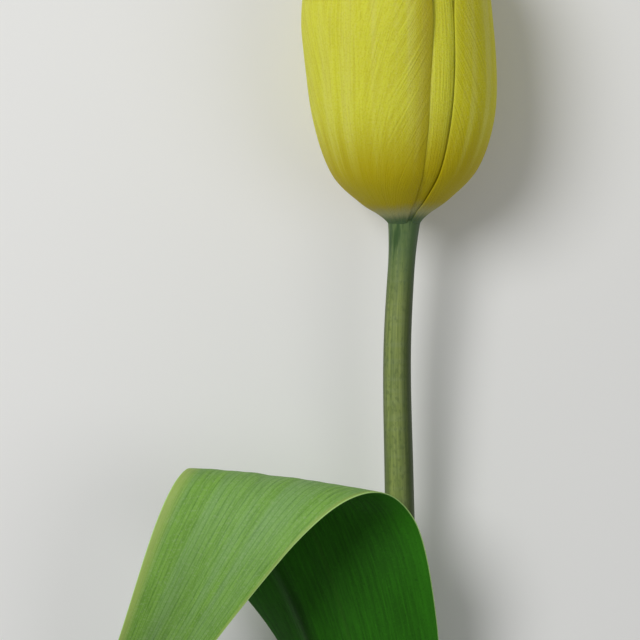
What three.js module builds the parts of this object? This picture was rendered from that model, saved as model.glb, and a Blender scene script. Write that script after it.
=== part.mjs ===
// A single cut tulip lying on its back on a flat surface: a closed flower of six petals round
// its stamens and pistil, a stem, and one leaf that clasps the stem, arches up and falls to the side.
// Millimetres, +Z up. +Y runs along the stem to the flower, and +X is to the right seen from above.
// Every piece is first placed from the neck, where the flower meets its stem, and the finished
// group is then moved so that its origin is under the middle of the whole object.
import * as THREE from "three";

// flower
const headHeight = 82; // neck to the tips of the outer petals, along the flower's axis
const headRadius = 26.2; // axis to the outside of the outer petals, at the belly
const bellyHeight = 45; // neck to the widest place
const headLean = 2.8; // degrees that the flower leans to the left of its stem's line
const petalThickness = 0.9;
const petalEdgeThickness = 0.5;
const whorlGap = 0.5; // air between the outer and the inner petals at their closest
const petalHalfAngle = 53; // degrees each side of a petal's midrib, seen along the axis
const petalTwist = 15; // degrees that a petal's midrib winds to the right on its way up
const marginTuck = 1.1; // how far a petal's right margin dips towards the flower's axis
const petalBulges = [-0.9, 0.9, 0]; // extra belly of each outer petal, low on the flower
const outerAzimuths = [-36, 89, 206]; // degrees to the right of straight up, at belly height
const innerAzimuths = [26, 148, 265];
const ridgeHeights = [1.9, 0.9, 0.9]; // how far each inner petal's midrib stands out between its neighbours
const ridgeHalfAngle = 6; // degrees
const innerTipDrop = 2.5; // how much lower the inner petals end
const outerShoulder = 0.64; // share of a petal's length where it starts to narrow to its tip
const innerShoulder = 0.72;

// stem
const stemLength = 245; // cut end to neck
const stemTopRadius = 3.55; // thinnest place, a little under the flower
const stemEndRadius = 5; // at the cut
const neckRadius = 4.5; // where it widens to carry the flower
const neckFlare = 14; // length over which it widens
const receptacleHeight = 0.9; // its domed top, inside the flower
const stemSway = [0, -1.85, -1.3, -0.45, 0.4, 1.4, 2.4, 3.4]; // its drift to the right, down from the neck
const swayStep = 35; // between those places

// stamens and pistil
const filamentInset = 1.15; // how far inside the neck's rim a filament stands
const filamentLength = 12;
const filamentRadii = [0.38, 0.62]; // top and foot
const stamenSplay = 11; // degrees that a stamen leans out
const antherLength = 15;
const antherRadius = 1.6;
const ovaryRadius = 2.2; // before its lobes
const ovaryHeight = 19;
const stigmaRadius = 4.2;
const stigmaHeight = 3.4;

// leaf: a sheet that rises over the stem, rolls over a line that crosses it and falls to the surface
const leafLength = 280; // along its midrib
const leafThickness = 0.9;
const leafEdgeThickness = 0.5;
const leafHalfWidths = [10, 16, 24, 27.7, 18, 10.8, 8, 0.4]; // measured flat, foot to tip
const nipAt = 0.51; // share of its length, from its foot, where its left margin draws in
const nipSpread = 0.05; // share of its length that this takes, each way
const nipDepth = 2;
const leafCurls = [58, 30, 5, 4, 16, 18, 10]; // degrees its channel turns each side of its midrib, past its foot
const leafRolls = [0, 24, 19, 6.8, -6.8, -1.3, -10, -6]; // degrees that its left half is turned down
const leafLeans = [6, 20.7, 19.7, 31.4, 25.2, 19.4, 17, 24]; // degrees from its midrib to the way it rolls
const foldTilt = 5.7; // degrees that the line it rolls over drops to the right
const foldBelow = 71.6; // neck to the top of the roll, along the stem
const foldRadii = [11.2, 18]; // of the roll, at the leaf's left and right margins
const foldHeights = [25, 28.9]; // of the sheet above the surface, where it starts to roll
const foldSpan = [-45, 8]; // where those two are measured, across from the neck
const sheathFoot = 190; // neck to the leaf's foot, along the stem

const leafRise = [[160, 1], [130, 4]]; // on its way up: below the neck, and over the stem
const rollRun = 8; // how far behind the roll it reaches the height where it starts to roll
const leafFall = [[22, 3], [50, 18]]; // on its way down: past the roll, and below the roll's top
const leafLanding = [78, 9]; // just before it lands: past the roll, and above the surface
const leafLying = [97, 115]; // past the roll, from where it first lies on the surface to its far end

const clearance = 0.35; // air between pieces that touch on the real plant
const petalSteps = [18, 12]; // along, across
const leafSteps = [44, 10];
const stemSteps = [26, 14];

const radians = THREE.MathUtils.degToRad;
const clamp01 = (x) => Math.min(1, Math.max(0, x));
const between = (a, b, share) => a + (b - a) * share;

// Value of a smooth line through evenly numbered stations, at a place given in stations.
function smooth(values, place) {
  const last = values.length - 1;
  const i = Math.min(last - 1, Math.max(0, Math.floor(place)));
  const f = place - i;
  const p1 = values[i];
  const p2 = values[i + 1];
  const p0 = i > 0 ? values[i - 1] : 2 * p1 - p2;
  const p3 = i + 2 <= last ? values[i + 2] : 2 * p2 - p1;
  const slope = p2 - p0;
  const bend = 2 * p0 - 5 * p1 + 4 * p2 - p3;
  const twist = 3 * p1 - p0 - 3 * p2 + p3;
  return p1 + 0.5 * f * (slope + f * (bend + f * twist));
}

// A closed thin shell: middle(u, s) is its middle surface, u from 0 to 1 along it and s from -1 to 1
// across it, and thickness(u, s) its thickness there.
function thinShell(middle, thickness, [along, across]) {
  const step = 1e-3;
  const side = (u, s, sign) => {
    const du = middle(Math.min(1, u + step), s).sub(middle(Math.max(0, u - step), s));
    const ds = middle(u, s + step).sub(middle(u, s - step));
    const normal = ds.cross(du).normalize();
    return middle(u, s).addScaledVector(normal, (sign * thickness(u, s)) / 2);
  };
  const positions = [];
  for (const sign of [1, -1])
    for (let i = 0; i <= along; i++)
      for (let j = 0; j <= across; j++)
        positions.push(...side(i / along, (2 * j) / across - 1, sign).toArray());
  const row = across + 1;
  const back = (along + 1) * row;
  const faces = [];
  const quad = (a, b, c, d) => faces.push(a, b, c, a, c, d);
  for (let i = 0; i < along; i++)
    for (let j = 0; j < across; j++) {
      const a = i * row + j;
      quad(a, a + 1, a + row + 1, a + row);
      quad(back + a, back + a + row, back + a + row + 1, back + a + 1);
    }
  for (let i = 0; i < along; i++) {
    const left = i * row;
    const right = left + across;
    quad(left, left + row, back + left + row, back + left);
    quad(right, back + right, back + right + row, right + row);
  }
  for (let j = 0; j < across; j++) {
    const tip = along * row + j;
    quad(j, back + j, back + j + 1, j + 1);
    quad(tip, tip + 1, back + tip + 1, back + tip);
  }
  return new THREE.BufferGeometry()
    .setAttribute("position", new THREE.Float32BufferAttribute(positions, 3))
    .setIndex(faces);
}

// ---- the flower's outline, as [radius, height] of the middle of the outer petals' thickness

const outline = [
  [neckRadius + clearance + petalThickness / 2, 0.3],
  [0.26 * headRadius, 0.018 * headHeight],
  [0.47 * headRadius, 0.062 * headHeight],
  [0.75 * headRadius, 0.16 * headHeight],
  [0.93 * headRadius, 0.33 * headHeight],
  [headRadius - petalThickness / 2, bellyHeight],
  [0.96 * headRadius, 0.73 * headHeight],
  [0.83 * headRadius, 0.87 * headHeight],
  [0.61 * headRadius, 0.96 * headHeight],
  [0.37 * headRadius, headHeight],
];
const outlineCurve = new THREE.CatmullRomCurve3(
  outline.map(([r, h]) => new THREE.Vector3(r, h, 0)),
  false,
  "catmullrom",
  0.5,
);
outlineCurve.arcLengthDivisions = 400;

// Half a petal's angle at u: full as far as its shoulder, then closing to a blunt point.
function petalAngle(u, shoulder) {
  const v = clamp01((u - shoulder) / (1 - shoulder));
  return radians(petalHalfAngle) * Math.max(0.05, Math.pow(1 - v * v, 0.75));
}

// One petal's middle surface, with its midrib at azimuth 0, which is straight up (+Z).
// insetAt gives how far it lies inside the outline, and shape adds to its radius.
function petalSurface(insetAt, tipDrop, shoulder, shape) {
  return (u, s) => {
    const p = outlineCurve.getPointAt(u);
    const t = outlineCurve.getTangentAt(u);
    const inset = insetAt(u);
    const height = p.y + inset * t.x - tipDrop * u * u;
    const radius = p.x - inset * t.y;
    const azimuth =
      radians(petalTwist) * (Math.pow(clamp01(height / (0.78 * headHeight)), 0.45) - 0.82) +
      s * petalAngle(u, shoulder);
    const r = radius + shape(height, s);
    return new THREE.Vector3(r * Math.sin(azimuth), height, r * Math.cos(azimuth));
  };
}

const petalDepth = (u, s) => between(petalThickness, petalEdgeThickness, Math.pow(Math.abs(s), 3));
const mostBulge = Math.max(...petalBulges.map(Math.abs));
const footInset = petalThickness + clearance;
const fullInset = petalThickness + whorlGap + mostBulge + marginTuck;
const innerInset = (u) => between(footInset, fullInset, clamp01(u / 0.2));
const lowOnFlower = (height) => Math.sin(Math.PI * clamp01(height / (1.15 * bellyHeight)));
const alongPetal = (height) => Math.sin(Math.PI * clamp01(height / headHeight));

const yellow = () => new THREE.MeshStandardMaterial({ color: 0xd3cf3c, roughness: 0.5 });

function outerPetal(number) {
  const tuck = (s) => marginTuck * Math.pow(clamp01((s - 0.5) / 0.5), 2);
  const shape = (height, s) =>
    petalBulges[number] * lowOnFlower(height) - tuck(s) * alongPetal(height);
  const geometry = thinShell(petalSurface(() => 0, 0, outerShoulder, shape), petalDepth, petalSteps);
  return placePetal(geometry, "outer_petal_" + (number + 1), outerAzimuths[number]);
}

function innerPetal(number) {
  const ridge = (s) =>
    ridgeHeights[number] * Math.exp(-Math.pow((s * petalHalfAngle) / ridgeHalfAngle, 2));
  const shape = (height, s) => ridge(s) * alongPetal(height);
  const middle = petalSurface(innerInset, innerTipDrop, innerShoulder, shape);
  const geometry = thinShell(middle, petalDepth, petalSteps);
  return placePetal(geometry, "inner_petal_" + (number + 1), innerAzimuths[number]);
}

function placePetal(geometry, name, azimuth) {
  const petal = new THREE.Mesh(geometry, yellow());
  petal.name = name;
  petal.rotation.y = radians(azimuth);
  return petal;
}

// ---- stamens and pistil, round the flower's axis (+Y)

function stamen(number) {
  const filament = new THREE.Mesh(
    new THREE.CylinderGeometry(filamentRadii[0], filamentRadii[1], filamentLength, 8),
    new THREE.MeshStandardMaterial({ color: 0xd8d684, roughness: 0.5 }),
  );
  filament.name = "filament_" + number;
  filament.position.y = filamentLength / 2;
  const anther = new THREE.Mesh(
    new THREE.SphereGeometry(1, 10, 8).scale(antherRadius, antherLength / 2, 0.75 * antherRadius),
    new THREE.MeshStandardMaterial({ color: 0xb89a2c, roughness: 0.8 }),
  );
  anther.name = "anther_" + number;
  anther.position.y = filamentLength + clearance + antherLength / 2;
  const upright = new THREE.Group();
  upright.rotation.x = radians(stamenSplay);
  upright.position.set(0, receptacleHeight + clearance, neckRadius - filamentInset);
  upright.add(filament, anther);
  const turned = new THREE.Group();
  turned.rotation.y = radians(60 * number);
  turned.add(upright);
  return turned;
}

// A turned solid whose cross-section has three lobes: lobe(share of height) is how deep they are.
function threeLobed(profile, segments, lobe) {
  const geometry = new THREE.LatheGeometry(
    profile.map(([r, y]) => new THREE.Vector2(r, y)),
    segments,
  );
  const place = geometry.getAttribute("position");
  const top = profile[profile.length - 1][1];
  for (let i = 0; i < place.count; i++) {
    const angle = Math.atan2(place.getX(i), place.getZ(i));
    const k = 1 + lobe(place.getY(i) / top) * Math.cos(3 * angle);
    place.setXYZ(i, place.getX(i) * k, place.getY(i), place.getZ(i) * k);
  }
  return geometry;
}

function pistil() {
  const green = new THREE.MeshStandardMaterial({ color: 0xa3b765, roughness: 0.45 });
  const r = ovaryRadius;
  const ovary = new THREE.Mesh(
    threeLobed(
      [[0, 0], [0.9 * r, 0], [1.1 * r, 0.2 * ovaryHeight], [1.15 * r, 0.5 * ovaryHeight],
        [r, 0.8 * ovaryHeight], [0.82 * r, ovaryHeight], [0, ovaryHeight]],
      18,
      () => 0.1,
    ),
    green,
  );
  ovary.name = "ovary";
  ovary.position.y = receptacleHeight + clearance;
  const stigma = new THREE.Mesh(
    threeLobed(
      [[0, 0], [0.5 * stigmaRadius, 0], [0.85 * stigmaRadius, 0.45 * stigmaHeight],
        [0.8 * stigmaRadius, 0.85 * stigmaHeight], [0.35 * stigmaRadius, stigmaHeight],
        [0, 0.8 * stigmaHeight]],
      18,
      (share) => 0.35 * clamp01(2 * share),
    ),
    new THREE.MeshStandardMaterial({ color: 0xdcdc96, roughness: 0.7 }),
  );
  stigma.name = "stigma";
  stigma.position.y = ovary.position.y + ovaryHeight + clearance;
  return [ovary, stigma];
}

// ---- stem

// The stem and the flower lie in one line that touches the surface at the cut and at the belly.
const rise = (headRadius - stemEndRadius) / (stemLength + bellyHeight);
const neckHeight = stemEndRadius + rise * stemLength;

// Middle of the stem at a distance below the neck.
function stemMiddle(down) {
  const x = smooth(stemSway, down / swayStep);
  return new THREE.Vector3(x, -down, neckHeight - rise * down);
}

function stemRadius(down) {
  const taper = between(stemTopRadius, stemEndRadius, clamp01(down / stemLength));
  const flare = Math.pow(clamp01(1 - down / neckFlare), 2);
  return taper + (neckRadius - stemTopRadius) * flare;
}

function stem() {
  const [along, round] = stemSteps;
  const profile = [new THREE.Vector2(0, -stemLength)];
  for (let i = 0; i <= along; i++) {
    const down = stemLength * Math.pow(1 - i / along, 1.5);
    profile.push(new THREE.Vector2(stemRadius(down), -down));
  }
  profile.push(new THREE.Vector2(0.75 * neckRadius, 0.7 * receptacleHeight));
  profile.push(new THREE.Vector2(0, receptacleHeight));
  const geometry = new THREE.LatheGeometry(profile, round);
  const place = geometry.getAttribute("position");
  for (let i = 0; i < place.count; i++) {
    const middle = stemMiddle(Math.max(0, -place.getY(i)));
    place.setXYZ(i, place.getX(i) + middle.x, place.getY(i), place.getZ(i) + middle.z);
  }
  const mesh = new THREE.Mesh(
    geometry,
    new THREE.MeshStandardMaterial({ color: 0x7a8a4f, roughness: 0.45 }),
  );
  mesh.name = "stem";
  return mesh;
}

// ---- leaf

const overStem = (down) => stemMiddle(down).z + stemRadius(down) + clearance + leafThickness / 2;

// The sheet's line, foot to tip, in a plane across the fold: x is the way towards the flower, y the height.
function sheetLine(radius, height) {
  const top = -foldBelow;
  const rollEnd = top - radius;
  const line = new THREE.CatmullRomCurve3(
    [
      [-sheathFoot, overStem(sheathFoot)],
      ...leafRise.map(([down, over]) => [-down, overStem(down) + over]),
      [rollEnd - rollRun, height],
      [top - 0.3 * radius, height + 0.3 * radius],
      [top, height + radius],
      [top - 0.3 * radius, height + 1.7 * radius],
      [rollEnd, height + 2 * radius],
      ...leafFall.map(([past, drop]) => [rollEnd - past, height + 2 * radius - drop]),
      [rollEnd - leafLanding[0], leafLanding[1]],
      [rollEnd - leafLying[0], leafThickness],
      [rollEnd - leafLying[1], leafThickness / 2],
    ].map(([x, y]) => new THREE.Vector3(x, y, 0)),
    false,
    "centripetal",
  );
  line.arcLengthDivisions = 600;
  const length = line.getLength();
  return (b) => {
    const share = clamp01(b / length);
    const way = line.getTangentAt(share);
    return [line.getPointAt(share).addScaledVector(way, b - share * length), way];
  };
}

// Middle surface of the leaf. It is laid out flat first, a across and b along the way it rolls, with each
// cross-section curled round the midrib, and is then bent to the sheet's line.
function leafSurface() {
  const tilt = radians(foldTilt);
  const across = new THREE.Vector3(Math.cos(tilt), -Math.sin(tilt), 0);
  const along = new THREE.Vector3(Math.sin(tilt), Math.cos(tilt), 0);
  const lines = foldRadii.map((radius, side) => sheetLine(radius, foldHeights[side]));
  const at = (list, u) => smooth(list, u * (list.length - 1));
  const footCurl = leafHalfWidths[0] / (stemRadius(sheathFoot) + clearance + leafThickness / 2);
  const curls = [footCurl, ...leafCurls.map(radians)]; // its foot clasps the stem
  const steps = 200;
  const foot = stemMiddle(sheathFoot).dot(across);
  const midrib = [[foot, 0]];
  for (let i = 0; i < steps; i++) {
    const lean = radians(at(leafLeans, (i + 0.5) / steps));
    const [a, b] = midrib[i];
    const step = leafLength / steps;
    midrib.push([a - step * Math.sin(lean), b + step * Math.cos(lean)]);
  }
  return (u, s) => {
    const lean = radians(at(leafLeans, u));
    const roll = radians(at(leafRolls, u));
    const curl = at(curls, u);
    const nip = nipDepth * Math.max(0, -s) * Math.exp(-(((u - nipAt) / nipSpread) ** 2));
    const radius = Math.max(0.3, at(leafHalfWidths, u) - nip) / curl;
    const flat = radius * Math.sin(s * curl);
    const lift = radius * (1 - Math.cos(s * curl));
    const out = flat * Math.cos(roll) + lift * Math.sin(roll);
    const a = at(midrib.map((p) => p[0]), u) + out * Math.cos(lean);
    const b = at(midrib.map((p) => p[1]), u) + out * Math.sin(lean);
    const share = clamp01((a - foldSpan[0]) / (foldSpan[1] - foldSpan[0]));
    const [[leftAt, leftWay], [rightAt, rightWay]] = lines.map((line) => line(b));
    const place = leftAt.lerp(rightAt, share);
    const way = leftWay.lerp(rightWay, share).normalize();
    const inward = lift * Math.cos(roll) - flat * Math.sin(roll);
    const forward = place.x + inward * way.y;
    return new THREE.Vector3(0, 0, place.y - inward * way.x)
      .addScaledVector(across, a)
      .addScaledVector(along, forward);
  };
}

function leaf() {
  const depth = (u, s) => between(leafThickness, leafEdgeThickness, Math.pow(Math.abs(s), 3));
  const mesh = new THREE.Mesh(
    thinShell(leafSurface(), depth, leafSteps),
    new THREE.MeshStandardMaterial({ color: 0x5f8c3b, roughness: 0.45 }),
  );
  mesh.name = "leaf";
  return mesh;
}

// ---- the whole tulip

const flower = new THREE.Group();
flower.position.set(0, 0, neckHeight);
flower.rotation.set(Math.asin(rise), 0, radians(headLean));
for (let i = 0; i < 3; i++) flower.add(outerPetal(i), innerPetal(i));
for (let i = 1; i <= 6; i++) flower.add(stamen(i));
flower.add(...pistil());

const tulip = new THREE.Group();
tulip.add(flower, stem(), leaf());
tulip.updateMatrixWorld(true);
const box = new THREE.Box3().setFromObject(tulip, true);
const middle = box.getCenter(new THREE.Vector3());
tulip.position.set(-middle.x, -middle.y, -box.min.z);

export default tulip;
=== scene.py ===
import math

import bpy
import numpy as np
from mathutils import Matrix, Vector


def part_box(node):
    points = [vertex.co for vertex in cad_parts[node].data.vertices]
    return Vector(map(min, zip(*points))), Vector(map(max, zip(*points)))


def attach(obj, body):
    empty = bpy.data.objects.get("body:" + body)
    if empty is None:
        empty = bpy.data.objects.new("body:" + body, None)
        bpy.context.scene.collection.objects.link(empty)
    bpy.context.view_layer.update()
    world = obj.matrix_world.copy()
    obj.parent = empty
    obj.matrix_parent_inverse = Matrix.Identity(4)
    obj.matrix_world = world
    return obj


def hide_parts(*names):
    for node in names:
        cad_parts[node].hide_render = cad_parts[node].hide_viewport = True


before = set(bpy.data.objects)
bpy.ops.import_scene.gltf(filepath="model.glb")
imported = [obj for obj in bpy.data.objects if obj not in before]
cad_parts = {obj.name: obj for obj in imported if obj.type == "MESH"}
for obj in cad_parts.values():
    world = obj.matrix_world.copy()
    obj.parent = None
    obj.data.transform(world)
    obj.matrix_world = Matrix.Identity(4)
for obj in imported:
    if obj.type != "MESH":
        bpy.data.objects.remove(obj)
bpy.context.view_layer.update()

mm = 0.001
samePlace = 1e-6        # m, points nearer than this are together


def linearColour(hexCode):
    parts = [int(hexCode[i:i + 2], 16) / 255 for i in (1, 3, 5)]
    return [p / 12.92 if p <= 0.04045 else ((p + 0.055) / 1.055) ** 2.4 for p in parts] + [1]


def addNode(tree, kind, inputs=None, **settings):
    node = tree.nodes.new(kind)
    for name, value in settings.items():
        setattr(node, name, value)
    for socket, value in (inputs or {}).items():
        if isinstance(value, bpy.types.NodeSocket):
            tree.links.new(value, node.inputs[socket])
        else:
            node.inputs[socket].default_value = value
    return node


def clearSelection():
    if bpy.context.object and bpy.context.object.mode != "OBJECT":
        bpy.ops.object.mode_set(mode="OBJECT")
    bpy.ops.object.select_all(action="DESELECT")


def pickPoints(piece, wanted):
    # in edit mode, selects the points whose place passes the test
    bpy.ops.object.mode_set(mode="OBJECT")
    mesh = piece.data
    for part in (mesh.vertices, mesh.edges, mesh.polygons):
        part.foreach_set("select", np.zeros(len(part), bool))
    for vertex in mesh.vertices:
        vertex.select = bool(wanted(vertex.co))
    bpy.ops.object.mode_set(mode="EDIT")
    bpy.ops.mesh.select_mode(type="VERT")


def smoothLine(values, place):
    # value of a smooth line through evenly numbered stations
    values = np.asarray(values, float)
    place = np.asarray(place, float)
    last = len(values) - 1
    padded = np.concatenate([[2 * values[0] - values[1]], values, [2 * values[-1] - values[-2]]])
    i = np.clip(np.floor(place), 0, last - 1).astype(int)
    f = place - i
    p0, p1, p2, p3 = (padded[i + k] for k in range(4))
    bend = 2 * p0 - 5 * p1 + 4 * p2 - p3
    turn = 3 * p1 - p0 - 3 * p2 + p3
    return p1 + 0.5 * f * (p2 - p0 + f * (bend + f * turn))


def curveThrough(points, power):
    # a smooth curve through points, as places and directions at a length from its start.
    # A power of 0 treats all gaps as equal, and 0.5 goes by the roots of their lengths
    perGap = 120
    points = np.asarray(points, float)
    ends = [2 * points[0] - points[1], *points, 2 * points[-1] - points[-2]]
    placesAlong = []
    f = np.linspace(0, 1, perGap, endpoint=False)[:, None]
    for a, b, c, d in zip(ends, ends[1:], ends[2:], ends[3:]):
        gaps = [np.linalg.norm(q - p) ** power for p, q in ((a, b), (b, c), (c, d))]
        out = ((b - a) / gaps[0] - (c - a) / (gaps[0] + gaps[1]) + (c - b) / gaps[1]) * gaps[1]
        back = ((c - b) / gaps[1] - (d - b) / (gaps[1] + gaps[2]) + (d - c) / gaps[2]) * gaps[1]
        placesAlong.append(b + f * out + f ** 2 * (3 * (c - b) - 2 * out - back)
                           + f ** 3 * (2 * (b - c) + out + back))
    line = np.vstack(placesAlong + [points[-1:]])
    lengths = np.concatenate([[0], np.cumsum(np.linalg.norm(np.diff(line, axis=0), axis=1))])
    ways = np.gradient(line, lengths, axis=0)
    ways /= np.linalg.norm(ways, axis=1)[:, None]

    def at(length):
        inside = np.clip(length, 0, lengths[-1])
        place = np.stack([np.interp(inside, lengths, line[:, k]) for k in range(2)], -1)
        way = np.stack([np.interp(inside, lengths, ways[:, k]) for k in range(2)], -1)
        return place + way * (np.asarray(length) - inside)[..., None], way

    return at, lengths[-1]


def unitClamp(x):
    return np.clip(x, 0, 1)


# a thin living sheet from a grid, across from -1 to 1 and along from 0 to 1. There, middle gives
# its middle surface, body its share of the full thickness, and vein its place among the veins in mm
def makeSheet(name, middle, body, thickness, counts, vein):
    clearSelection()
    bpy.ops.mesh.primitive_grid_add(x_subdivisions=counts[0], y_subdivisions=counts[1], size=1)
    sheet = bpy.context.object
    sheet.name = name
    mesh = sheet.data
    count = len(mesh.vertices)
    flat = np.empty(count * 3)
    mesh.vertices.foreach_get("co", flat)
    flat = flat.reshape(-1, 3)
    across, along = flat[:, 0] * 2, flat[:, 1] + 0.5
    place = middle(across, along)
    mesh.vertices.foreach_set("co", place.ravel())
    mesh.update()
    veinAcross, veinAlong = vein(across, along)

    # places among the veins, in centimetres, on one map, and shares of width and length on another
    loops = np.empty(len(mesh.loops), int)
    mesh.loops.foreach_get("vertex_index", loops)
    mesh.uv_layers[0].name = "veins"
    mesh.uv_layers.new(name="share")
    for layer, pair in (("veins", (veinAcross / 10, veinAlong / 10)), ("share", (across, along))):
        both = np.stack([pair[0][loops], pair[1][loops]], -1)
        mesh.uv_layers[layer].data.foreach_set("uv", both.ravel())

    full = sheet.vertex_groups.new(name="full")
    for i, weight in enumerate(body(across, along)):
        full.add([i], float(weight), "REPLACE")
    bpy.ops.object.shade_smooth()
    wall = sheet.modifiers.new("wall", "SOLIDIFY")
    wall.thickness = thickness
    wall.offset = 0
    wall.vertex_group = "full"
    wall.thickness_vertex_group = 0
    bpy.ops.object.modifier_apply(modifier="wall")

    # which face of the sheet a point is on: 1 on the side that the grid's normals leave
    nudge = 1e-3
    toRight = middle(across + nudge, along) - place
    onwards = middle(across, along + nudge) - place
    normals = np.cross(toRight, onwards)
    now = np.empty(len(mesh.vertices) * 3)
    mesh.vertices.foreach_get("co", now)
    now = now.reshape(-1, 3)
    side = np.ones(len(now))
    for start in (0, count):
        out = np.einsum("ij,ij->i", now[start:start + count] - place, normals)
        side[start:start + count] = out > 0
    mesh.attributes.new("face", "FLOAT", "POINT").data.foreach_set("value", side)
    smoother = sheet.modifiers.new("smoother", "SUBSURF")
    smoother.levels = smoother.render_levels = 1
    bpy.ops.object.modifier_apply(modifier="smoother")
    return sheet


# stem

stemShape = {
    "length": 245,          # mm, cut end to neck
    "topRadius": 3.55,
    "endRadius": 5,
    "neckRadius": 4.5,
    "neckFlare": 14,
    "domeHeight": 0.9,
    "sway": [3.4, 2.4, 1.4, 0.4, -0.45, -1.3, -1.85, 0],    # mm to the right, cut to neck
    "cutEdge": 0.15,        # mm, the worn edge of the cut
    "rind": 0.6,            # mm, the firm ring that shows at the cut
    "rindDip": 0.05,
    "hollow": 0.35,         # mm that the soft middle sinks below the rind
    "hollowSlope": 0.5,     # mm over which it sinks
    "pithRings": (3, 0.9),  # how many rings fill the middle, and mm each
    "dome": [(0.75, 0.7), (0.35, 0.97), (0.03, 1)],     # shares of the neck's radius and its height
    "sides": 40,
    "steps": 56,
    "gather": 1.4,          # rings stand closer together towards the neck
    "sharpAngle": 40,       # degrees, edges sharper than this stay sharp
}
headShape = {
    "height": 82,           # mm, neck to the tips
    "radius": 26.2,
    "bellyHeight": 45,
    "lean": 2.8,            # degrees to the left
    "thickness": 0.9,
    "whorlGap": 0.5,
    "halfAngle": 53,
    "twist": 15,
    "tuck": 1.1,            # of the outer petals' left margins
    "tuckRight": 1.6,
    "lowTucks": [0, 0.7, 0],        # mm more at the left margins below lowTuckTop
    "lowTuckTop": 40,
    "bulges": [-0.9, 0.9, 0],
    "outerAzimuths": [-36, 89, 206],
    "innerAzimuths": [26, 148, 265],
    "ridges": [1.9, 0.9, 0.9],
    "ridgeAngle": 14,
    "ridgeOffset": 7,
    "footDrop": 1.6,        # mm that the petals' feet reach down over the stem
    "tipDrop": 2.5,
    "outerShoulder": 0.64,
    "innerShoulder": 0.72,
    "clearance": 0.35,
    "footInset": 0.35,      # mm that the inner petals' feet stand inside the outer ones
    "insetBy": 0.35,        # share of the length by which they stand fully inside
    "reach": 1.09,          # how much wider the outer petals are to the right of their midribs
    "footNarrow": 0.65,     # mm inside the neck's rim, where the petals start
    "rim": (0.25, -0.2),    # mm out from the neck and up, where they pass its rim
    # its outline below and above the belly, as shares of radius and height
    "outlineLow": [(0.28, 0.025), (0.46, 0.064), (0.75, 0.16), (0.93, 0.33)],
    "outlineHigh": [(0.96, 0.73), (0.83, 0.87), (0.61, 0.96), (0.37, 1)],
    "tipWidth": 0.05,       # share of the width left at a tip
    "tipRound": 0.75,
    "twistBy": (0.78, 0.45, 0.82),      # share of the height, power, and the share by the belly
    "bulgeTop": 1.15,       # belly heights up, where the bulges end
    "tuckStarts": (0.5, 0.66),          # shares of the half width, left and right
    "ribs": 7,              # soft ribs up each petal, laid at random
    "ribSeed": 11,
    "ribRates": (1, 7, 3),  # slowest, fastest, and turns of a sine that one of them makes
    "ribDepth": 0.05,       # mm
    "ribSlant": 0.6,
    "ribFade": 0.5,         # share lost at the margins
    "veinSpan": 26,         # mm across the vein map from the midrib to a margin
    "veinFoot": 12,         # mm of height over which the veins run together
    "veinShift": 100,       # mm between two petals' stretches of the pattern
    "marginThin": (0.62, 5),            # share of the thickness lost at the margins, and power
    "footThin": (0.6, 0.06),            # share lost at the foot, and share of the length that takes
    "counts": (40, 60),
}

rise = (headShape["radius"] - stemShape["endRadius"]) / (stemShape["length"] + headShape["bellyHeight"])
neckHeight = stemShape["endRadius"] + rise * stemShape["length"]


def stemSway(down):
    sway = stemShape["sway"]
    return smoothLine(sway, (1 - np.asarray(down) / stemShape["length"]) * (len(sway) - 1))


def stemRadius(down):
    s = stemShape
    taper = s["topRadius"] + (s["endRadius"] - s["topRadius"]) * unitClamp(down / s["length"])
    return taper + (s["neckRadius"] - s["topRadius"]) * unitClamp(1 - down / s["neckFlare"]) ** 2


# the neck's place in the frame, from the stem's box
stemLow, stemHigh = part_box("stem")
allDown = np.linspace(0, stemShape["length"], 400)
sways, radii = stemSway(allDown), stemRadius(allDown)
widest = (sways + radii).max(), (sways - radii).min()
neck = Vector((
    (stemLow.x + stemHigh.x) / 2 - sum(widest) / 2 * mm,
    stemHigh.y - stemShape["domeHeight"] * mm,
    0,
))
print("neck at", [round(v, 4) for v in neck])


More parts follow.
